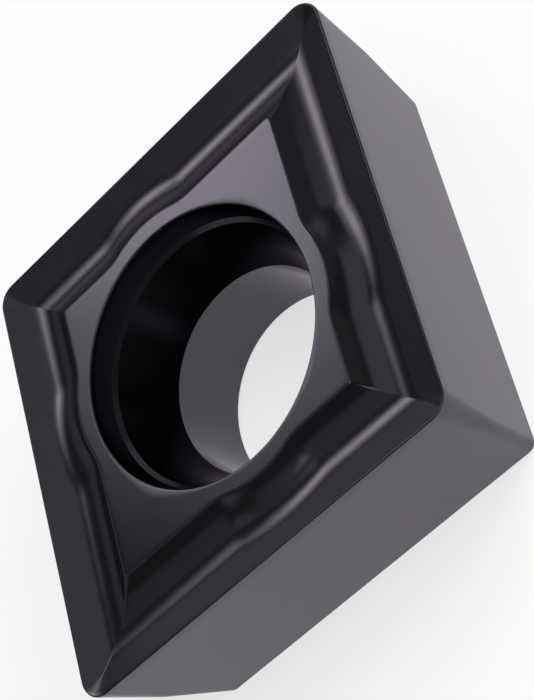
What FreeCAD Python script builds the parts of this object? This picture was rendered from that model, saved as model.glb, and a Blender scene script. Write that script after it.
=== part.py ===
import FreeCAD, Part
import math
import os
import Sketcher

os.makedirs("parts", exist_ok=True)
doc = FreeCAD.newDocument("carbide_insert")

# Driving dimensions, in millimetres and degrees
SIZES = {
    # Rhombic body: circle inside the cutting edges, base to cutting edge, sharp corner, flank clearance
    "inscribed": 9.525,
    "thickness": 3.97,
    "acute_angle": 80.0,
    "clearance_angle": 7.0,
    # Corner rounds: at the cutting edge, at the base, and how far down the cone between them runs
    "nose_radius": 0.48,
    "heel_radius": 0.22,
    "nose_depth": 2.0,
    # Rake face: land that falls away from the edge, cove behind it, flat crown above the edges
    "rake_angle": 18.0,
    "land_width": 0.60,
    "cove_radius": 1.10,
    "crown_rise": 0.06,
    "crown_round": 0.10,
    # Swell of each cove beside the screw hole: half its length, its rise and the spare in its end bends
    "swell_half": 1.165,
    "swell_rise": 0.168,
    "swell_spare": 0.15,
    # Screw hole: bore with a chamfered rim, conical seat, ledge and tapered neck, all down from the crown
    "bore_radius": 2.20,
    "rim_chamfer": 0.10,
    "mouth_radius": 2.886,
    "neck_radius": 2.795,
    "neck_depth": 0.55,
    "ledge_radius": 2.70,
    "ledge_drop": 0.08,
    "seat_depth": 1.35,
    # Rounding of the honed cutting edge
    "hone_radius": 0.03,
    # How far a cutting profile runs past the face that it opens
    "overrun": 0.05,
}

# Sizes that follow from the driving ones
DERIVED = {
    "edge_in": "inscribed / 2",
    "side": "acute_angle / 2",
    "crown": "thickness + crown_rise",
    "blank_reach": "edge_in + crown_rise",
    "nose_growth": "(nose_radius - heel_radius) / nose_depth",
    "nose_drop": "nose_radius * tan(rake_angle * 1 deg)",
    "edge_start": "-(edge_in - nose_radius) / tan(side * 1 deg)",
    "edge_end": "(edge_in - nose_radius) * tan(side * 1 deg)",
    "land_slant": "land_width / cos(rake_angle * 1 deg)",
    "land_reach": "land_slant + overrun",
    "swell_bend": "land_reach + swell_spare",
    "swell_radius": "(swell_half ^ 2 + swell_rise ^ 2) / (2 * swell_rise)",
    "swell_centre": "land_slant - swell_rise + swell_radius",
    "bend_centre": "land_slant - swell_bend",
    "bend_across": "sqrt((swell_radius + swell_bend) ^ 2 - (swell_centre - bend_centre) ^ 2)",
    "swell_lean": "asin(bend_across / (swell_radius + swell_bend)) / 1 deg",
    "neck_foot": "crown - neck_depth",
    "ledge_foot": "neck_foot - ledge_drop",
    "seat_foot": "ledge_foot - seat_depth",
    "mouth_growth": "(mouth_radius - neck_radius) / neck_depth",
}

sheet = doc.addObject("Spreadsheet::Sheet", "sizes")
cells = list(SIZES.items()) + [(name, "=" + rule) for name, rule in DERIVED.items()]
for row, (name, content) in enumerate(cells, start=1):
    sheet.set(f"A{row}", name)
    sheet.set(f"B{row}", str(content))
    sheet.setAlias(f"B{row}", name)
doc.recompute()

UP = FreeCAD.Vector(0, 0, 1)
# Two heights closer than this are level, in millimetres
LEVEL = 1e-4

# Frame of the base, or of a diagonal plane
LEVEL_FRAME = "placement(vector(0; 0; 0); rotationz(0))"

# Frame of one side: x along the cutting edge, y down the land, z square to the land
SIDE_FRAME = (
    "placement(vector(sizes.edge_in * sin(sizes.side * 1 deg);"
    " sizes.edge_in * cos(sizes.side * 1 deg); sizes.thickness);"
    " rotationz(180 - sizes.side) * rotationx(-sizes.rake_angle))"
)


# Frame of one flank: x along the cutting edge, y up the flank, z square out of it
FLANK_FRAME = (
    "placement(vector(sizes.edge_in * sin(sizes.side * 1 deg);"
    " sizes.edge_in * cos(sizes.side * 1 deg); sizes.thickness);"
    " rotationz(180 - sizes.side) * rotationx(90 + sizes.clearance_angle))"
)


def size(name):
    """A value from the sheet."""
    return float(getattr(sheet, name))


def vec(across, up):
    return FreeCAD.Vector(across, up, 0)


def arc(centre, radius, start, end):
    return Part.ArcOfCircle(Part.Circle(centre, UP, radius), start, end)


def plane(body, role):
    """The body's own origin plane with this role."""
    return next(f for f in body.Origin.OriginFeatures if f.Role == role)


def sketch(body, name, role, offset, geometry, rules):
    """A sketch on an origin plane, moved off it by a placement rule, with its shape and ties."""
    made = body.newObject("Sketcher::SketchObject", name)
    made.AttachmentSupport = [(plane(body, role), "")]
    made.MapMode = "FlatFace"
    made.setExpression("AttachmentOffset", offset)
    for piece in geometry:
        made.addGeometry(piece, False)
    for rule in rules:
        made.addConstraint(Sketcher.Constraint(*rule))
    return made


def drive(made, name, rule, *constraint):
    """Adds a dimension to a sketch and binds it to a rule on the sheet."""
    made.renameConstraint(made.addConstraint(Sketcher.Constraint(*constraint)), name)
    made.setExpression(f"Constraints.{name}", rule)


def pin(made, piece, end, name, across, up):
    """Holds one end of a piece at the place that two rules give."""
    point = made.getPoint(piece, end)
    drive(made, name + "_across", across, "DistanceX", -1, 1, piece, end, point.x)
    drive(made, name + "_up", up, "DistanceY", -1, 1, piece, end, point.y)


def quarter_blank(body):
    """Upright block that holds one quarter, from the base to the crown."""
    half = math.radians(size("side"))
    reach = size("blank_reach")
    acute = vec(reach / math.sin(half), 0)
    obtuse = vec(0, reach / math.cos(half))
    geometry = [
        Part.LineSegment(vec(0, 0), acute),
        Part.LineSegment(acute, obtuse),
        Part.LineSegment(obtuse, vec(0, 0)),
    ]
    rules = [
        ("Coincident", 0, 1, -1, 1),
        ("Horizontal", 0),
        ("Coincident", 0, 2, 1, 1),
        ("Coincident", 1, 2, 2, 1),
        ("Vertical", 2),
        ("Coincident", 2, 2, -1, 1),
    ]
    made = sketch(body, "blank_outline", "XY_Plane", LEVEL_FRAME, geometry, rules)
    drive(made, "reach", "sizes.blank_reach", "Distance", -1, 1, 1, reach)
    drive(made, "lean", "180 deg - sizes.side * 1 deg", "Angle", 1, math.pi - half)
    blank = body.newObject("PartDesign::Pad", "quarter_blank")
    blank.Profile = made
    blank.setExpression("Length", "sizes.crown")
    return blank


def flank(body):
    """Cuts the side flat, leaning in from the cutting edge to the base."""
    reach = size("inscribed")
    corners = [vec(-reach, -reach), vec(reach, -reach), vec(reach, reach), vec(-reach, reach)]
    geometry = [Part.LineSegment(a, b) for a, b in zip(corners, corners[1:] + corners[:1])]
    rules = [
        ("Coincident", 0, 2, 1, 1),
        ("Coincident", 1, 2, 2, 1),
        ("Coincident", 2, 2, 3, 1),
        ("Coincident", 3, 2, 0, 1),
        ("Horizontal", 0),
        ("Vertical", 1),
        ("Horizontal", 2),
        ("Vertical", 3),
        ("Symmetric", 0, 1, 1, 2, -1, 1),
        ("Equal", 0, 1),
    ]
    made = sketch(body, "flank_cover", "XY_Plane", FLANK_FRAME, geometry, rules)
    drive(made, "width", "2 * sizes.inscribed", "DistanceX", 0, 1, 0, 2, 2 * reach)
    cut = body.newObject("PartDesign::Pocket", "flank")
    cut.Profile = made
    cut.setExpression("Length", "sizes.inscribed")
    cut.Reversed = True
    return cut


def corner_section(body, name, height, inner, corner, acute):
    """Spare metal outside one corner round at one height, from its diagonal to the flank."""
    half = math.radians(size("side"))
    lean = half if acute else math.pi / 2 - half
    radius = size("heel_radius")
    centre = (size("edge_in") - radius) / math.sin(lean)
    turn = math.pi / 2 - lean
    out = vec(math.cos(turn), math.sin(turn)) * radius
    middle = vec(centre, 0)
    tip = middle + vec(2 * radius / math.sin(lean), 0)
    round_start, round_end = middle + vec(radius, 0), middle + out
    spare = middle + out * 2
    if acute:
        curve = arc(middle, radius, 0, turn)
        first, last, axis = 1, 2, -1
        slope, slope_rule = -half, "-sizes.side * 1 deg"
    else:
        middle, tip, round_start, round_end, spare = (
            vec(p.y, p.x) for p in (middle, tip, round_start, round_end, spare))
        curve = arc(middle, radius, math.pi / 2 - turn, math.pi / 2)
        first, last, axis = 2, 1, -2
        slope, slope_rule = math.pi - half, "180 deg - sizes.side * 1 deg"
    geometry = [
        curve,
        Part.LineSegment(round_end, spare),
        Part.LineSegment(spare, tip),
        Part.LineSegment(tip, round_start),
    ]
    rules = [
        ("Coincident", 0, last, 1, 1),
        ("Coincident", 1, 2, 2, 1),
        ("Coincident", 2, 2, 3, 1),
        ("Coincident", 3, 2, 0, first),
        ("PointOnObject", 0, 3, axis),
        ("PointOnObject", 0, first, axis),
        ("PointOnObject", 2, 2, axis),
        ("PointOnObject", 0, 3, 1),
        ("Perpendicular", 1, 2),
    ]
    offset = f"placement(vector(0; 0; {height}); rotationz(0))"
    made = sketch(body, name, "XY_Plane", offset, geometry, rules)
    drive(made, "corner", corner, "Radius", 0, radius)
    drive(made, "spare", corner, "Distance", 1, 1, 1, 2, radius)
    drive(made, "inner", f"{inner} + {corner}", "Distance", -1, 1, 2, size("edge_in") + radius)
    drive(made, "slope", slope_rule, "Angle", 2, slope)
    return made


def corner_round(body, name, acute):
    """Rounds one corner: a slanting round up to the waist, then a cone that widens to the edge."""
    base = corner_section(
        body, name + "_base", "0",
        "sizes.edge_in - sizes.thickness * tan(sizes.clearance_angle * 1 deg)",
        "sizes.heel_radius", acute,
    )
    waist = corner_section(
        body, name + "_waist", "sizes.thickness - sizes.nose_depth",
        "sizes.edge_in - sizes.nose_depth * tan(sizes.clearance_angle * 1 deg)",
        "sizes.heel_radius", acute,
    )
    top = corner_section(
        body, name + "_crown", "sizes.crown",
        "sizes.edge_in + sizes.crown_rise * tan(sizes.clearance_angle * 1 deg)",
        "sizes.nose_radius + sizes.crown_rise * sizes.nose_growth", acute,
    )
    cut = body.newObject("PartDesign::SubtractiveLoft", name)
    cut.Profile = base
    cut.Sections = [waist, top]
    cut.Ruled = True
    return cut


def cove_section(body, name, across, into, foot, foot_rule):
    """Section square to the edge: flat land out past the edge, quarter circle in to the crown.

    Its origin lies on the land where two rules put it, and the foot of the cove out from there.
    """
    cove = size("cove_radius")
    reach = size("land_reach")
    geometry = [
        arc(vec(foot, cove), cove, math.pi, 1.5 * math.pi),
        Part.LineSegment(vec(foot, 0), vec(foot + reach, 0)),
        Part.LineSegment(vec(foot + reach, 0), vec(foot + reach, cove)),
        Part.LineSegment(vec(foot + reach, cove), vec(foot - cove, cove)),
    ]
    rules = [
        ("Coincident", 0, 2, 1, 1),
        ("Coincident", 1, 2, 2, 1),
        ("Coincident", 2, 2, 3, 1),
        ("Coincident", 3, 2, 0, 1),
        ("PointOnObject", 1, 1, -1),
        ("Horizontal", 1),
        ("Vertical", 2),
        ("Horizontal", 3),
        ("PointOnObject", 0, 3, 3),
        ("Vertical", 0, 2, 0, 3),
    ]
    place = f"placement(vector({across}; {into}; 0); rotationz(-90) * rotationx(90))"
    made = sketch(body, name, "XY_Plane", f"{SIDE_FRAME} * {place}", geometry, rules)
    drive(made, "cove", "sizes.cove_radius", "Radius", 0, cove)
    drive(made, "reach", "sizes.land_reach", "DistanceX", 1, 1, 1, 2, reach)
    drive(made, "foot", foot_rule, "DistanceX", -1, 1, 1, 1, foot)
    return made


def straight_cove(body, name, across, length, towards_acute):
    """Cuts the land and cove where they run straight, from beside the hole to one corner round."""
    section = cove_section(body, name + "_section", across, "0", -size("land_slant"), "-sizes.land_slant")
    cut = body.newObject("PartDesign::Pocket", name)
    cut.Profile = section
    cut.setExpression("Length", length)
    cut.Reversed = towards_acute
    return cut


def curved_cove(body, name, across, into, foot, foot_rule, sweep):
    """Cuts the land and cove where they turn about a line square to the land."""
    section = cove_section(body, name + "_section", across, into, foot, foot_rule)
    cut = body.newObject("PartDesign::Groove", name)
    cut.Profile = section
    cut.ReferenceAxis = (section, ["V_Axis"])
    cut.setExpression("Angle", sweep)
    return cut


def land_and_cove(body):
    """Cuts the falling land and the cove behind it along one cutting edge.

    The cove runs straight from the corners and swells towards the edge beside the hole.
    """
    bend = size("swell_bend")
    straight_cove(
        body, "acute_cove", "-sizes.bend_across", "-sizes.edge_start - sizes.bend_across", True)
    straight_cove(
        body, "obtuse_cove", "sizes.bend_across", "sizes.edge_end - sizes.bend_across", False)
    lean = "sizes.swell_lean * 1 deg"
    acute_bend = curved_cove(
        body, "acute_bend", "-sizes.bend_across", "sizes.bend_centre", -bend, "-sizes.swell_bend", lean)
    acute_bend.Reversed = True
    curved_cove(
        body, "obtuse_bend", "sizes.bend_across", "sizes.bend_centre", -bend, "-sizes.swell_bend", lean)
    swell = curved_cove(
        body, "swell", "0", "sizes.swell_centre", size("swell_radius"), "sizes.swell_radius", "2 * " + lean)
    swell.Midplane = True
    return swell


def nose_land(body, name, role, centre, sweep, backwards):
    """Cuts the conical land inside one corner round, falling to the centre of that round."""
    rim = size("nose_radius") + size("overrun")
    apex = size("thickness") - size("nose_drop")
    edge = apex + rim * math.tan(math.radians(size("rake_angle")))
    above = size("crown") + size("overrun")
    corners = [vec(0, apex), vec(rim, edge), vec(rim, above), vec(0, above)]
    geometry = [Part.LineSegment(a, b) for a, b in zip(corners, corners[1:] + corners[:1])]
    rules = [
        ("Coincident", 0, 2, 1, 1),
        ("Coincident", 1, 2, 2, 1),
        ("Coincident", 2, 2, 3, 1),
        ("Coincident", 3, 2, 0, 1),
        ("Vertical", 1),
        ("Horizontal", 2),
        ("Vertical", 3),
        ("PointOnObject", 0, 1, -2),
    ]
    offset = f"placement(vector({centre}; 0; 0); rotationz(0))"
    made = sketch(body, name + "_profile", role, offset, geometry, rules)
    drive(made, "apex", "sizes.thickness - sizes.nose_drop", "DistanceY", -1, 1, 0, 1, apex)
    drive(made, "above", "sizes.crown + sizes.overrun", "DistanceY", -1, 1, 2, 1, above)
    drive(made, "rim", "sizes.nose_radius + sizes.overrun", "DistanceX", -1, 1, 0, 2, rim)
    drive(made, "fall", "sizes.rake_angle * 1 deg", "Angle", 0, math.radians(size("rake_angle")))
    cut = body.newObject("PartDesign::Groove", name)
    cut.Profile = made
    cut.ReferenceAxis = (made, ["V_Axis"])
    cut.setExpression("Angle", sweep)
    cut.Reversed = backwards
    return cut


def level_edges(shape, height):
    """Names of the edges that lie level at this height, without those on a diagonal."""
    names = []
    for number, edge in enumerate(shape.Edges, start=1):
        places = [v.Point for v in edge.Vertexes] + [edge.CenterOfMass]
        level = all(abs(p.z - height) < LEVEL for p in places)
        on_diagonal = all(abs(p.x) < LEVEL for p in places) or all(abs(p.y) < LEVEL for p in places)
        if level and not on_diagonal:
            names.append(f"Edge{number}")
    return names


def rounded(body, name, base, edges, radius):
    made = body.newObject("PartDesign::Fillet", name)
    made.Base = (base, edges)
    made.setExpression("Radius", radius)
    return made


def mirrored(body, name, role):
    """Adds the mirror image of all that the body holds so far."""
    doc.recompute()
    made = body.newObject("PartDesign::Mirrored", name)
    made.TransformMode = "Whole shape"
    made.MirrorPlane = (plane(body, role), [""])
    body.Tip = made
    return made


def screw_hole(body):
    """Turned hole: chamfered rim, bore, conical seat for the screw head, ledge and tapered neck."""
    bore = size("bore_radius")
    chamfer = size("rim_chamfer")
    overrun = size("overrun")
    seat_foot = size("seat_foot")
    below = -overrun
    above = size("crown") + overrun
    rim = vec(bore + chamfer + overrun, below)
    chamfer_top = vec(bore, chamfer)
    bore_top = vec(bore, seat_foot)
    ledge = vec(size("ledge_radius"), size("ledge_foot"))
    neck = vec(size("neck_radius"), size("neck_foot"))
    mouth = vec(size("mouth_radius") + overrun * size("mouth_growth"), above)
    geometry = [
        Part.LineSegment(vec(0, below), rim),
        Part.LineSegment(rim, chamfer_top),
        Part.LineSegment(chamfer_top, bore_top),
        Part.LineSegment(bore_top, ledge),
        Part.LineSegment(ledge, neck),
        Part.LineSegment(neck, mouth),
        Part.LineSegment(mouth, vec(0, above)),
        Part.LineSegment(vec(0, above), vec(0, below)),
    ]
    rules = [
        ("Horizontal", 0),
        ("Coincident", 0, 2, 1, 1),
        ("Coincident", 1, 2, 2, 1),
        ("Vertical", 2),
        ("Coincident", 2, 2, 3, 1),
        ("Coincident", 3, 2, 4, 1),
        ("Coincident", 4, 2, 5, 1),
        ("Coincident", 5, 2, 6, 1),
        ("Horizontal", 6),
        ("Coincident", 6, 2, 7, 1),
        ("Coincident", 7, 2, 0, 1),
        ("Vertical", 7),
        ("PointOnObject", 7, 1, -2),
    ]
    made = sketch(body, "hole_profile", "XZ_Plane", LEVEL_FRAME, geometry, rules)
    rim_across = "sizes.bore_radius + sizes.rim_chamfer + sizes.overrun"
    mouth_across = "sizes.mouth_radius + sizes.overrun * sizes.mouth_growth"
    pin(made, 0, 2, "rim", rim_across, "-sizes.overrun")
    pin(made, 2, 1, "chamfer_top", "sizes.bore_radius", "sizes.rim_chamfer")
    drive(made, "bore_top", "sizes.seat_foot", "DistanceY", -1, 1, 2, 2, seat_foot)
    pin(made, 4, 1, "ledge", "sizes.ledge_radius", "sizes.ledge_foot")
    pin(made, 5, 1, "neck", "sizes.neck_radius", "sizes.neck_foot")
    pin(made, 5, 2, "mouth", mouth_across, "sizes.crown + sizes.overrun")
    cut = body.newObject("PartDesign::Groove", "screw_hole")
    cut.Profile = made
    cut.ReferenceAxis = (made, ["V_Axis"])
    cut.Angle = 360
    return cut


def insert_body():
    """The sintered insert: one quarter shaped, mirrored over both diagonals, bored and honed."""
    body = doc.addObject("PartDesign::Body", "insert_body")
    nose_reach = "(sizes.edge_in - sizes.nose_radius)"
    quarter_blank(body)
    flank(body)
    corner_round(body, "acute_round", True)
    corner_round(body, "obtuse_round", False)
    land_and_cove(body)
    nose_land(
        body, "acute_nose_land", "XZ_Plane", f"{nose_reach} / sin(sizes.side * 1 deg)",
        "90 deg - sizes.side * 1 deg", False,
    )
    quarter = nose_land(
        body, "obtuse_nose_land", "YZ_Plane", f"{nose_reach} / cos(sizes.side * 1 deg)",
        "sizes.side * 1 deg", True,
    )
    doc.recompute()
    crown_edges = level_edges(quarter.Shape, size("crown"))
    rounded(body, "crown_edge", quarter, crown_edges, "sizes.crown_round")
    mirrored(body, "half", "XZ_Plane")
    whole = mirrored(body, "whole", "YZ_Plane")
    doc.recompute()
    cutting_edges = level_edges(whole.Shape, size("thickness"))
    rounded(body, "hone", whole, cutting_edges, "sizes.hone_radius")
    screw_hole(body)
    return body


def check(parts):
    """Stops if an object has failed, a cut has cut nothing, or a part isn't one sound solid."""
    failed = [o.Label for o in doc.Objects if "Invalid" in o.State or "Error" in o.State]
    if failed:
        raise RuntimeError(f"failed objects: {failed}")
    for cut in doc.Objects:
        cuts = cut.TypeId in ("PartDesign::Pocket", "PartDesign::Groove")
        if cuts and cut.Shape.Volume >= cut.BaseFeature.Shape.Volume:
            raise RuntimeError(f"cuts nothing: {cut.Label}")
    for part in parts:
        if part.Shape.isNull() or not part.Shape.isValid() or len(part.Shape.Solids) != 1:
            raise RuntimeError(f"bad shape: {part.Label}")


parts = [insert_body()]
doc.recompute()
check(parts)
for part in parts:
    part.Shape.exportStep(f"parts/{part.Label}.step")
    print(part.Label, round(part.Shape.Volume, 3), "mm3")
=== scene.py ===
import math

import bpy
from mathutils import Matrix, Vector


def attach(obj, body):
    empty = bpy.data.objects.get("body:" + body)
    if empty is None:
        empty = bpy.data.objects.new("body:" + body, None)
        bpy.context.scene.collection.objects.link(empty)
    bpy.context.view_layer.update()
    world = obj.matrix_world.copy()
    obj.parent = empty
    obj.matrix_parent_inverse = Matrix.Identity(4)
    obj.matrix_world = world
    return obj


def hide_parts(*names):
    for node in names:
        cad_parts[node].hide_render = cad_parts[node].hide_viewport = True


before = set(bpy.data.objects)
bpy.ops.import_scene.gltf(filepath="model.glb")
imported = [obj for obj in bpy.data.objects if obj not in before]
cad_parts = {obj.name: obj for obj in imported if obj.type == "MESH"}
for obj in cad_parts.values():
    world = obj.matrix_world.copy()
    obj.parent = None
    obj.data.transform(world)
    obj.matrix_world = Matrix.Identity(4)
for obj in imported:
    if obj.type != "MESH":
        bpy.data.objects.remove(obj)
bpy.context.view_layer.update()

MM = 0.001

# Sizes of the insert in millimetres and degrees, as in its construction
SIZES = {
    # Blank: circle that touches its four edges, height of the edges, and the lean of the flanks
    "inscribed": 9.525,
    "thickness": 3.97,
    "acute_angle": 80.0,
    "clearance_angle": 7.0,
    # Corners: round at the edge and at the heel, and how far down it shrinks from one to the other
    "nose_radius": 0.48,
    "heel_radius": 0.22,
    "nose_depth": 2.0,
    # Chipbreaker: fall and width of the land, the cove, and the crown's rise over the edge
    "rake_angle": 18.0,
    "land_width": 0.60,
    "cove_radius": 1.10,
    "crown_rise": 0.06,
    "crown_round": 0.10,
    # Swell of the cove's foot beside the hole: half its width, its rise, and the bends into it
    "swell_half": 1.165,
    "swell_rise": 0.168,
    "swell_bend": 0.831,
    # Hole, from the base up: bore and its chamfer, then mouth, neck, ledge and conical seat
    "bore_radius": 2.20,
    "rim_chamfer": 0.10,
    "mouth_radius": 2.886,
    "neck_radius": 2.795,
    "neck_depth": 0.55,
    "ledge_radius": 2.70,
    "ledge_drop": 0.08,
    "seat_depth": 1.35,
    # Round of the cutting edge
    "hone_radius": 0.03,
    # Fine rounds of the pressed shape: the mitre of the land, the hips of the crown, the mouth's rim
    "mitre_round": 0.02,
    "hip_round": 0.09,
    "mouth_round": 0.03,
}

# Camera in the object's frame, in millimetres: its place, then its right, up and back directions
CAMERA_PLACE = (-2.4508, -26.2879, 31.1778)
CAMERA_AXES = (
    (0.293123, -0.731776, -0.615290),
    (0.954255, 0.184245, 0.235479),
    (-0.058954, -0.656168, 0.752308),
)

# Size of the picture, and the camera's focal length and the middle of its view, all in pixels
PICTURE_WIDE = 534
PICTURE_HIGH = 700
FOCAL_LENGTH = 1932.0
VIEW_MIDDLE = (290.0, 385.0)

# Width of the film behind the lens in millimetres, and nearest and farthest sight in metres
FILM_WIDTH = 36.0
NEAREST_SIGHT = 0.001
FARTHEST_SIGHT = 10.0

# Soft boxes that the metal mirrors: azimuth (0 is +Y, 90 is +X), elevation, width and height in
# degrees as the insert sees them, and level, where 1 is white
SOFT_BOXES = {
    "back_box": (14, 43, 10.5, 11, 2.2),
    "back_wide_box": (16, 41, 24, 22, 0.86),
    "low_back_box": (18, 12, 24, 24, 0.34),
    "low_left_box": (-16, 14, 34, 26, 0.14),
    "left_box": (-34, 42, 16, 24, 0.25),
    "over_left_box": (-50, 70, 40, 24, 0.14),
    "top_box": (50, 68, 34, 26, 0.34),
    "overhead_box": (180, 86, 20, 20, 0.9),
    "right_side_box": (93, 26, 50, 48, 0.07),
    "right_corner_box": (60, 22, 34, 34, 0.25),
    "left_corner_box": (-66, 22, 34, 34, 0.25),
    "front_box": (180, 24, 110, 34, 0.5),
}

# Boxes that light the floor and the shadow on it, and don't show in the metal
FILL_BOXES = {
    "right_fill": (115, 45, 50, 50, 4.0),
    "left_fill": (-95, 50, 60, 50, 0.45),
    "front_fill": (180, 50, 60, 50, 0.2),
}

# Distance of the boxes, reach of the floor and its place, a hair below the base, in metres
BOX_DISTANCE = 0.30
FLOOR_REACH = 3.0
FLOOR_HEIGHT = -0.00001

# Share of the floor's white that doesn't depend on the light, and levels of the room round it: a pale
# foot up to the first elevation in degrees, dim from the second one up
FLOOR_GLOW = 0.66
ROOM_FOOT_LEVEL = 0.85
ROOM_LEVEL = 0.08
ROOM_FOOT = (2.0, 7.0)

# Columns of the mesh along one side: corner round, straight run, swell beside the hole, and back
COLUMNS = {"acute_nose": 14, "acute_run": 42, "swell": 72, "obtuse_run": 28, "obtuse_nose": 12}

# Rows of the mesh across each band, from the base edge up the flank and down through the hole
ROWS = {
    "lower_flank": 4,
    "upper_flank": 8,
    "hone": 8,
    "land": 8,
    "cove": 34,
    "crown_edge": 9,
    "crown": 8,
    "mouth": 5,
    "neck": 4,
    "ledge": 2,
    "seat": 16,
    "bore": 3,
    "rim": 1,
    "base": 6,
}

# Points closer than this, in millimetres, become one, and a bend of more degrees than this stays crisp
JOIN_REACH = 0.00002
CRISP_BEND = 20.0

# Bands that the pressing die shapes, and fine rounds that are brushed smoother after coating
DIE_BANDS = ("lower_flank", "upper_flank")
BRUSHED_BANDS = ("hone", "crown_edge", "mouth")

# Surface patterns in millimetres
GRAIN_WIDTH = 0.055
GRAIN_DEPTH = 0.0006
DRAW_LINE_WIDTH = 0.10
DRAW_LINE_LENGTH = 2.5
DRAW_LINE_DEPTH = 0.00048
CLOUD_WIDTH = 1.1

# Layers of finer detail in each pattern, and how much each layer counts next to the one before
GRAIN_DETAIL = (2.0, 0.6)
DRAW_LINE_DETAIL = (2.0, 0.5)
CLOUD_DETAIL = (3.0, 0.5)

# Colours of the coating: where it is thin and thick, where it is brushed, and of its grazing sheen
THIN_COLOUR = "4F4C51"
THICK_COLOUR = "55525A"
BRUSHED_COLOUR = "625E68"
GRAZING_COLOUR = "F2EFF4"
BRUSHED_COLOUR_SHARE = 0.15

# Roughness of the plain coating, and what clouds, die lines and brushing add to it
SATIN_ROUGHNESS = 0.18
CLOUD_ROUGHNESS = 0.03
DRAW_LINE_ROUGHNESS = 0.02
BRUSHED_ROUGHNESS = -0.02

# Colours of the floor's card and of its glow
CARD_COLOUR = "F6F6F6"
WHITE = "FFFFFF"


def node(tree, kind, *values, **settings):
    """Adds a node with its settings, and a value or a link for each of its open inputs in turn."""
    made = tree.nodes.new(kind)
    for name, value in settings.items():
        setattr(made, name, value)
    for socket, value in zip([s for s in made.inputs if s.enabled], values):
        if isinstance(value, bpy.types.NodeSocket):
            tree.links.new(value, socket)
        elif value is not None:
            socket.default_value = value
    return made


class Rule:
    """A number in a node tree, with the sums that make other numbers from it."""

    def __init__(self, tree, socket):
        self.tree = tree
        self.socket = socket

    def by(self, operation, *others):
        """What this operation makes of this number and the others."""
        values = [o.socket if isinstance(o, Rule) else o for o in (self, *others)]
        return Rule(self.tree, node(self.tree, "ShaderNodeMath", *values, operation=operation).outputs[0])

    def __add__(self, other):
        return self.by("ADD", other)

    def __sub__(self, other):
        return self.by("SUBTRACT", other)

    def __mul__(self, other):
        return self.by("MULTIPLY", other)

    def __truediv__(self, other):
        return self.by("DIVIDE", other)

    def __neg__(self):
        return self.by("MULTIPLY", -1.0)

    def __rsub__(self, other):
        return -self + other

    __radd__ = __add__
    __rmul__ = __mul__

    def sin(self):
        return self.by("SINE")

    def cos(self):
        return self.by("COSINE")

    def root(self):
        """Square root, or nought of a number below nought."""
        return self.by("MAXIMUM", 0.0).by("SQRT")

    def mixed(self, other, share):
        """This number where share is 0, the other where it is 1."""
        return self + (other - self) * share


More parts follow.
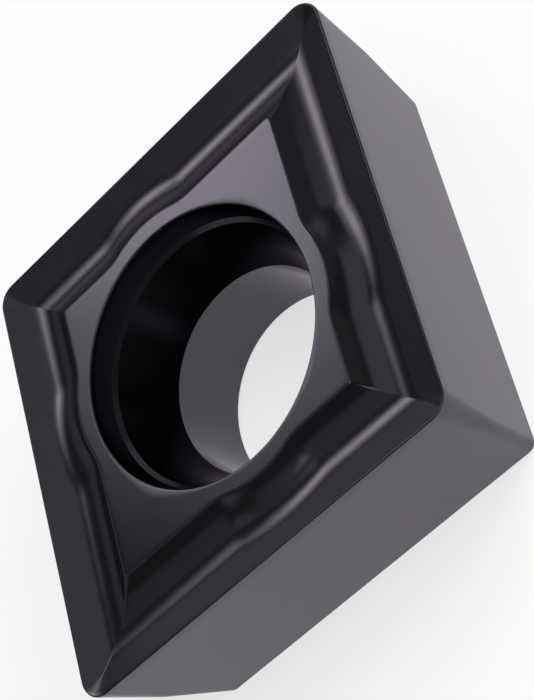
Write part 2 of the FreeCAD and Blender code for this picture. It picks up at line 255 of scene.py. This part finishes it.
class Side:
    """Shape rules of one side of the insert, from the acute diagonal to the obtuse one.

    t runs along the side and v across each band, both from 0 to 1.
    """

    def __init__(self, tree, size, t, v):
        self.tree = tree
        self.size = size
        self.v = v
        self.nought = v * 0.0
        self.edge_in = size["inscribed"] * 0.5
        self.top = size["thickness"] + size["crown_rise"]
        self.side = size["acute_angle"] * 0.5
        self.lean = size["clearance_angle"].by("TANGENT")
        self.columns(t)
        self.swelling()
        self.crown_edge_foot()

    def columns(self, t):
        """Shares of the corner rounds and straight runs that each column has gone through."""
        marks = [0.0]
        for count in COLUMNS.values():
            marks.append(marks[-1] + count / sum(COLUMNS.values()))
        shares = [
            Rule(self.tree, node(self.tree, "ShaderNodeMapRange", t.socket, start, end).outputs[0])
            for start, end in zip(marks, marks[1:])
        ]
        self.acute_turn = 1.0 - shares[0]
        self.acute_run = 1.0 - shares[1]
        self.middle = shares[2]
        self.obtuse_run = shares[3]
        self.obtuse_turn = shares[4]

    def swelling(self):
        """Foot of the cove on the land, which swells towards the edge beside the hole."""
        size = self.size
        slant = size["land_width"] / size["rake_angle"].cos()
        rise = size["swell_rise"]
        bend = size["swell_bend"]
        radius = (size["swell_half"] * size["swell_half"] + rise * rise) / (rise * 2.0)
        centre = slant - rise + radius
        bend_centre = slant - bend
        both = radius + bend
        drop = centre - bend_centre
        self.reach = (both * both - drop * drop).root()
        self.along = (self.middle * 2.0 - 1.0) * self.reach
        off = self.along.by("ABSOLUTE")
        into_bend = (self.reach - off) / bend
        into_swell = off / radius
        self.aside = -(self.along.by("SIGN")) * into_bend.by("MINIMUM", into_swell)
        self.inward = (1.0 - self.aside * self.aside).root()
        in_swell = into_swell.by("LESS_THAN", into_bend)
        self.foot = (bend_centre + bend * self.inward).mixed(centre - radius * self.inward, in_swell)

    def crown_edge_foot(self):
        """Angle up the cove at which the crown's rounded edge starts, and the middle of that round."""
        size = self.size
        rake, cove, edge = size["rake_angle"], size["cove_radius"], size["crown_round"]
        both = cove + edge
        level = both * rake.cos()
        across = both * rake.sin() * self.inward
        fall = size["thickness"] - self.top + edge - rake.sin() * self.foot + cove * rake.cos()
        span = (level * level + across * across).root()
        self.climb = across.by("ARCTAN2", level) + (fall / span).by("ARCCOSINE")
        self.edge_shift = self.aside * both * self.climb.sin()
        self.edge_middle = self.off_land(
            self.foot + self.inward * both * self.climb.sin(), cove - both * self.climb.cos())

    def off_land(self, down, out):
        """Distance from the hole's axis and height of a point down the land and out from it."""
        rake = self.size["rake_angle"]
        distance = self.edge_in - down * rake.cos() - out * rake.sin()
        return distance, self.size["thickness"] - down * rake.sin() + out * rake.cos()

    def ring(self, distance, corner, shift=0.0):
        """Plan place on a rhombus this far from the hole's axis with this corner round."""
        straight = distance - corner
        along = (
            self.along
            - (straight / self.side.by("TANGENT") - self.reach) * self.acute_run
            + (straight * self.side.by("TANGENT") - self.reach) * self.obtuse_run
            + shift
        )
        turn = self.side * self.obtuse_turn - (math.pi / 2 - self.side) * self.acute_turn
        across = straight + corner * turn.cos()
        along = along + corner * turn.sin()
        return (
            across * self.side.sin() - along * self.side.cos(),
            across * self.side.cos() + along * self.side.sin(),
        )

    def flank(self, low, high):
        """The leaning side and its corner cone between two heights."""
        height = low.mixed(high, self.v)
        depth = self.size["thickness"] - height
        above_waist = (1.0 - depth / self.size["nose_depth"]).by("MAXIMUM", 0.0)
        corner = self.size["heel_radius"].mixed(self.size["nose_radius"], above_waist)
        return (*self.ring(self.edge_in - depth * self.lean, corner), height)

    def hone_middle(self):
        """Middle of the cutting edge's round, and how far along flank and land it reaches."""
        hone = self.size["hone_radius"]
        rake, lean = self.size["rake_angle"], self.size["clearance_angle"]
        share = hone / (1.0 - (rake + lean).sin())
        distance = self.edge_in - share * (lean.cos() - rake.sin())
        height = self.size["thickness"] - share * (rake.cos() - lean.sin())
        half_wedge = (math.pi / 2 - rake - lean) * 0.5
        reach = hone * half_wedge.cos() / half_wedge.sin()
        return distance, height, reach

    def lower_flank(self):
        """From the base's edge up to the waist, where the corner starts to widen."""
        return self.flank(self.nought, self.size["thickness"] - self.size["nose_depth"])

    def upper_flank(self):
        """From the waist up to the round of the cutting edge."""
        waist = self.size["thickness"] - self.size["nose_depth"]
        reach = self.hone_middle()[2] * self.size["clearance_angle"].cos()
        return self.flank(waist, self.size["thickness"] - reach)

    def hone(self):
        """The cutting edge's small round, from the flank over to the land."""
        distance, height = self.hone_middle()[:2]
        start = -self.size["clearance_angle"]
        angle = start.mixed(self.size["rake_angle"] + math.pi / 2, self.v)
        distance = distance + self.size["hone_radius"] * angle.cos()
        corner = self.size["nose_radius"] - (self.edge_in - distance)
        return (*self.ring(distance, corner), height + self.size["hone_radius"] * angle.sin())

    def land(self):
        """The strip that falls inward from the cutting edge to the foot of the cove."""
        start = self.hone_middle()[2]
        distance, height = self.off_land(start.mixed(self.foot, self.v), self.nought)
        corner = self.size["nose_radius"] - (self.edge_in - distance)
        corner = corner.by("MAXIMUM", self.size["mitre_round"])
        return (*self.ring(distance, corner), height)

    def cove(self):
        """The hollow that curls the chip, up to the crown's rounded edge."""
        angle = self.climb * self.v
        cove = self.size["cove_radius"]
        distance, height = self.off_land(
            self.foot + self.inward * cove * angle.sin(), cove - cove * angle.cos())
        corner = self.size["mitre_round"].mixed(self.size["hip_round"], self.v * self.v * self.v)
        return (*self.ring(distance, corner, self.aside * cove * angle.sin()), height)

    def crown_border(self, angle):
        """Point on the crown's rounded edge, this angle down from its top."""
        rake, edge = self.size["rake_angle"], self.size["crown_round"]
        out = self.climb.sin() * self.inward * rake.cos() - self.climb.cos() * rake.sin()
        aside = -(self.climb.sin() * self.aside)
        level = (out * out + aside * aside).root()
        distance, height = self.edge_middle
        reach = edge * angle.sin() / level
        return (
            *self.ring(distance + out * reach, self.size["hip_round"], self.edge_shift + aside * reach),
            height + edge * angle.cos(),
        )

    def crown_edge(self):
        """The crown's rounded edge, from the top of the cove to the flat crown."""
        rake = self.size["rake_angle"]
        upright = self.climb.sin() * self.inward * rake.sin() + self.climb.cos() * rake.cos()
        return self.crown_border(upright.by("ARCCOSINE") * (1.0 - self.v))

    def heading(self):
        """Direction in plan from the hole's axis to this column's place on the crown's border."""
        x, y = self.crown_border(self.nought)[:2]
        reach = (x * x + y * y).root()
        return x / reach, y / reach

    def turned(self, radius, height):
        """Place in the hole at this radius and height."""
        ahead, beside = self.heading()
        return ahead * radius, beside * radius, height

    def mouth_middle(self):
        """Middle of the mouth's rim round, and the tilt of the neck below it."""
        size = self.size
        growth = (size["mouth_radius"] - size["neck_radius"]) / size["neck_depth"]
        tilt = growth.by("ARCTANGENT")
        radius = size["mouth_radius"] - size["mouth_round"] * growth + size["mouth_round"] / tilt.cos()
        return radius, self.top - size["mouth_round"], tilt

    def crown(self):
        """The flat top, from its border to the mouth of the hole."""
        x, y = self.crown_border(self.nought)[:2]
        ahead, beside = self.heading()
        mouth = self.mouth_middle()[0]
        return x.mixed(ahead * mouth, self.v), y.mixed(beside * mouth, self.v), self.top

    def mouth(self):
        """Fine round of the hole's rim at the crown."""
        radius, height, tilt = self.mouth_middle()
        angle = (math.pi / 2 - tilt) * self.v
        rim = self.size["mouth_round"]
        return self.turned(radius - rim * angle.sin(), height + rim * angle.cos())

    def neck(self):
        """The nearly upright wall below the mouth."""
        radius, height, tilt = self.mouth_middle()
        rim = self.size["mouth_round"]
        top = radius - rim * tilt.cos()
        return self.turned(
            top.mixed(self.size["neck_radius"], self.v),
            (height + rim * tilt.sin()).mixed(self.top - self.size["neck_depth"], self.v),
        )

    def ledge(self):
        """The small step below the neck."""
        foot = self.top - self.size["neck_depth"]
        return self.turned(
            self.size["neck_radius"].mixed(self.size["ledge_radius"], self.v),
            foot - self.size["ledge_drop"] * self.v,
        )

    def seat_foot(self):
        """Height at which the conical seat meets the bore."""
        size = self.size
        return self.top - size["neck_depth"] - size["ledge_drop"] - size["seat_depth"]

    def seat(self):
        """The cone that the screw's head rests on."""
        foot = self.seat_foot()
        return self.turned(
            self.size["ledge_radius"].mixed(self.size["bore_radius"], self.v),
            (foot + self.size["seat_depth"]).mixed(foot, self.v),
        )

    def bore(self):
        """The straight bore, from the seat's foot to the chamfer at the base."""
        return self.turned(
            self.size["bore_radius"], self.seat_foot().mixed(self.size["rim_chamfer"], self.v))

    def rim(self):
        """The chamfer that breaks the bore's lower rim."""
        chamfer = self.size["rim_chamfer"]
        return self.turned(self.size["bore_radius"] + chamfer * self.v, chamfer * (1.0 - self.v))

    def base(self):
        """The flat underside, from the chamfer out to the flank."""
        size = self.size
        start = self.turned(size["bore_radius"] + size["rim_chamfer"], self.nought)
        end = self.ring(self.edge_in - size["thickness"] * self.lean, size["heel_radius"])
        return start[0].mixed(end[0], self.v), start[1].mixed(end[1], self.v), start[2]


def shape_tree():
    """Node tree that builds the insert from its sizes: one side by rule, then its mirror images."""
    tree = bpy.data.node_groups.new("insert_shape", "GeometryNodeTree")
    tree.interface.new_socket("Geometry", in_out="OUTPUT", socket_type="NodeSocketGeometry")
    for name, value in SIZES.items():
        made = tree.interface.new_socket(name, in_out="INPUT", socket_type="NodeSocketFloat")
        made.default_value = value
    tree.interface.new_socket("material", in_out="INPUT", socket_type="NodeSocketMaterial")
    given = node(tree, "NodeGroupInput")
    size = {name: Rule(tree, given.outputs[name]) for name in SIZES}
    for name in ("acute_angle", "clearance_angle", "rake_angle"):
        size[name] = size[name].by("RADIANS")
    place = node(tree, "ShaderNodeSeparateXYZ", node(tree, "GeometryNodeInputPosition").outputs[0])
    t, v = (Rule(tree, place.outputs[axis]) + 0.5 for axis in "XY")
    side = Side(tree, size, t, v)
    quarter = node(tree, "GeometryNodeJoinGeometry")
    for name, rows in ROWS.items():
        grid = node(tree, "GeometryNodeMeshGrid", 1.0, 1.0, sum(COLUMNS.values()) + 1, rows + 1)
        spot = node(tree, "ShaderNodeCombineXYZ", *(part.socket for part in getattr(side, name)()))
        band = node(tree, "GeometryNodeSetPosition", grid.outputs[0], None, spot.outputs[0])
        for share, bands in (("die_share", DIE_BANDS), ("brushed_share", BRUSHED_BANDS)):
            inside = float(name in bands)
            band = node(
                tree, "GeometryNodeStoreNamedAttribute", band.outputs[0], None, share, inside,
                data_type="FLOAT", domain="POINT",
            )
        tree.links.new(band.outputs[0], quarter.inputs[0])
    half = with_mirror_image(tree, quarter.outputs[0], (-1.0, 1.0, 1.0))
    whole = with_mirror_image(tree, half, (1.0, -1.0, 1.0))
    closed = node(tree, "GeometryNodeMergeByDistance", whole, None, None, JOIN_REACH)
    smooth = node(tree, "GeometryNodeSetShadeSmooth", closed.outputs[0])
    bend = node(tree, "GeometryNodeInputMeshEdgeAngle")
    crisp = math.radians(CRISP_BEND)
    sharp = node(tree, "FunctionNodeCompare", bend.outputs[0], crisp, operation="GREATER_THAN")
    marked = node(
        tree, "GeometryNodeStoreNamedAttribute", smooth.outputs[0], None, "sharp_edge", sharp.outputs[0],
        data_type="BOOLEAN", domain="EDGE",
    )
    metres = node(tree, "GeometryNodeTransform", marked.outputs[0])
    metres.inputs["Scale"].default_value = (MM, MM, MM)
    real = node(tree, "GeometryNodeRealizeInstances", metres.outputs[0])
    coated = node(tree, "GeometryNodeSetMaterial", real.outputs[0], None, given.outputs["material"])
    node(tree, "NodeGroupOutput", coated.outputs[0])
    return tree


def with_mirror_image(tree, geometry, scale):
    """The geometry and its mirror image, with the image's faces turned outward again."""
    image = node(tree, "GeometryNodeTransform", geometry)
    image.inputs["Scale"].default_value = scale
    turned = node(tree, "GeometryNodeFlipFaces", image.outputs[0])
    both = node(tree, "GeometryNodeJoinGeometry", geometry)
    tree.links.new(turned.outputs[0], both.inputs[0])
    return both.outputs[0]


def insert(material):
    """The insert's fine mesh in place of the plain solid."""
    tree = shape_tree()
    carrier = bpy.data.objects.new("insert_rule", bpy.data.meshes.new("insert_rule"))
    bpy.context.scene.collection.objects.link(carrier)
    modifier = carrier.modifiers.new("shape", "NODES")
    modifier.node_group = tree
    for item in tree.interface.items_tree:
        if item.in_out == "INPUT":
            modifier[item.identifier] = SIZES.get(item.name, material)
    depsgraph = bpy.context.evaluated_depsgraph_get()
    mesh = bpy.data.meshes.new_from_object(carrier.evaluated_get(depsgraph))
    mesh.name = "coated_insert"
    bpy.data.objects.remove(carrier)
    made = bpy.data.objects.new("coated_insert", mesh)
    bpy.context.scene.collection.objects.link(made)
    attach(made, "root")
    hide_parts("insert_body")


def srgb(code):
    """Linear colour from a hex code."""
    parts = [int(code[i:i + 2], 16) / 255 for i in (0, 2, 4)]
    return (*(p / 12.92 if p <= 0.04045 else ((p + 0.055) / 1.055) ** 2.4 for p in parts), 1.0)


def coating():
    """Titanium aluminium nitride, vapour-deposited on pressed and sintered carbide.

    To the eye it is a dark violet-grey metal with a satin sheen. The grain of the pressed powder
    softens what it mirrors, the die leaves faint upright lines on the flanks, and the rounded
    edges are brushed a little smoother.
    """
    material = bpy.data.materials.new("nitride_on_carbide")
    material.use_nodes = True
    tree = material.node_tree
    shader = tree.nodes["Principled BSDF"]
    shader.inputs["Metallic"].default_value = 1.0
    shader.inputs["Specular Tint"].default_value = srgb(GRAZING_COLOUR)
    place = node(tree, "ShaderNodeTexCoord").outputs["Object"]
    place = node(tree, "ShaderNodeVectorMath", place, 1 / MM, operation="SCALE").outputs[0]
    die = Rule(tree, node(tree, "ShaderNodeAttribute", attribute_name="die_share").outputs["Fac"])
    brushed = Rule(tree, node(tree, "ShaderNodeAttribute", attribute_name="brushed_share").outputs["Fac"])

    # The carbide's grains are about 0.002 mm wide, far too fine to show, so they are drawn coarser
    grain = Rule(tree, node(tree, "ShaderNodeTexNoise", place, 1 / GRAIN_WIDTH, *GRAIN_DETAIL).outputs[0])

    # Upright lines from the die, which are also drawn wider than the real scratches
    spread = (1 / DRAW_LINE_WIDTH, 1 / DRAW_LINE_WIDTH, 1 / DRAW_LINE_LENGTH)
    upright = node(tree, "ShaderNodeVectorMath", place, spread, operation="MULTIPLY").outputs[0]
    lines = Rule(tree, node(tree, "ShaderNodeTexNoise", upright, 1.0, *DRAW_LINE_DETAIL).outputs[0])

    # Slow clouds in the coating's thickness shift its colour and sheen very slightly
    cloud = Rule(tree, node(tree, "ShaderNodeTexNoise", place, 1 / CLOUD_WIDTH, *CLOUD_DETAIL).outputs[0])
    colour = node(
        tree, "ShaderNodeMix", cloud.socket, srgb(THIN_COLOUR), srgb(THICK_COLOUR), data_type="RGBA",
    ).outputs[2]
    worn = (brushed * BRUSHED_COLOUR_SHARE).socket
    colour = node(tree, "ShaderNodeMix", worn, colour, srgb(BRUSHED_COLOUR), data_type="RGBA").outputs[2]
    tree.links.new(colour, shader.inputs["Base Color"])
    rough = SATIN_ROUGHNESS + cloud * CLOUD_ROUGHNESS + lines * die * DRAW_LINE_ROUGHNESS
    rough = rough + brushed * BRUSHED_ROUGHNESS
    tree.links.new(rough.socket, shader.inputs["Roughness"])

    # Relief of the grain and the die lines
    relief = grain + lines * die * (DRAW_LINE_DEPTH / GRAIN_DEPTH)
    bump = node(tree, "ShaderNodeBump", 1.0, GRAIN_DEPTH * MM)
    tree.links.new(relief.socket, bump.inputs["Height"])
    tree.links.new(bump.outputs[0], shader.inputs["Normal"])
    return material


def camera():
    """Camera at the photograph's viewing angle."""
    data = bpy.data.cameras.new("camera")
    data.sensor_width = FILM_WIDTH
    data.lens = FOCAL_LENGTH * FILM_WIDTH / PICTURE_HIGH
    data.shift_x = (PICTURE_WIDE / 2 - VIEW_MIDDLE[0]) / PICTURE_HIGH
    data.shift_y = (VIEW_MIDDLE[1] - PICTURE_HIGH / 2) / PICTURE_HIGH
    data.clip_start = NEAREST_SIGHT
    data.clip_end = FARTHEST_SIGHT
    made = bpy.data.objects.new("camera", data)
    turn = Matrix(CAMERA_AXES).transposed().to_4x4()
    made.matrix_world = Matrix.Translation(Vector(CAMERA_PLACE) * MM) @ turn
    bpy.context.scene.collection.objects.link(made)
    bpy.context.scene.camera = made


def floor():
    """Wide pale floor that keeps the shadow, near white where the camera and the metal see it."""
    mesh = bpy.data.meshes.new("floor")
    corners = ((-1, -1), (1, -1), (1, 1), (-1, 1))
    corners = [(x * FLOOR_REACH, y * FLOOR_REACH, FLOOR_HEIGHT) for x, y in corners]
    mesh.from_pydata(corners, [], [(0, 1, 2, 3)])
    made = bpy.data.objects.new("floor", mesh)
    bpy.context.scene.collection.objects.link(made)
    material = bpy.data.materials.new("white_card")
    material.use_nodes = True
    tree = material.node_tree
    tree.nodes.clear()
    card = node(tree, "ShaderNodeBsdfDiffuse", srgb(CARD_COLOUR))
    glow = node(tree, "ShaderNodeEmission", srgb(WHITE), 1.0)
    path = node(tree, "ShaderNodeLightPath")
    seen = Rule(tree, path.outputs["Is Camera Ray"])
    for ray in ("Is Glossy Ray", "Is Transmission Ray"):
        seen = seen + Rule(tree, path.outputs[ray])
    share = (seen * FLOOR_GLOW).socket
    mixed = node(tree, "ShaderNodeMixShader", share, card.outputs[0], glow.outputs[0])
    node(tree, "ShaderNodeOutputMaterial", mixed.outputs[0])
    mesh.materials.append(material)


def soft_box(name, azimuth, elevation, width, height, level):
    """Area lamp in this direction from the insert, as wide and high as it looks from there."""
    turn, rise = math.radians(azimuth), math.radians(elevation)
    heading = Vector((math.sin(turn) * math.cos(rise), math.cos(turn) * math.cos(rise), math.sin(rise)))
    data = bpy.data.lights.new(name, "AREA")
    data.shape = "RECTANGLE"
    data.size = 2 * BOX_DISTANCE * math.tan(math.radians(width / 2))
    data.size_y = 2 * BOX_DISTANCE * math.tan(math.radians(height / 2))
    data.energy = level * math.pi * data.size * data.size_y
    made = bpy.data.objects.new(name, data)
    made.location = heading * BOX_DISTANCE
    made.rotation_euler = heading.to_track_quat("Z", "Y").to_euler()
    bpy.context.scene.collection.objects.link(made)
    return made


def room():
    """Dim grey room with a pale foot, where it meets the floor far behind the insert."""
    world = bpy.data.worlds.new("room")
    world.use_nodes = True
    tree = world.node_tree
    heading = node(tree, "ShaderNodeTexCoord").outputs["Generated"]
    rise = node(tree, "ShaderNodeSeparateXYZ", heading).outputs["Z"]
    foot, dim = (math.sin(math.radians(angle)) for angle in ROOM_FOOT)
    level = node(
        tree, "ShaderNodeMapRange", rise, foot, dim, ROOM_FOOT_LEVEL, ROOM_LEVEL,
        interpolation_type="SMOOTHSTEP",
    )
    back = tree.nodes["Background"]
    back.inputs["Color"].default_value = srgb(WHITE)
    tree.links.new(level.outputs[0], back.inputs["Strength"])
    bpy.context.scene.world = world


def lights():
    """Soft boxes round the insert, and fills for the floor."""
    for name, box in SOFT_BOXES.items():
        soft_box(name, *box)
    for name, box in FILL_BOXES.items():
        soft_box(name, *box).visible_glossy = False


bpy.context.scene.view_settings.view_transform = "Standard"
camera()
floor()
room()
lights()
insert(coating())
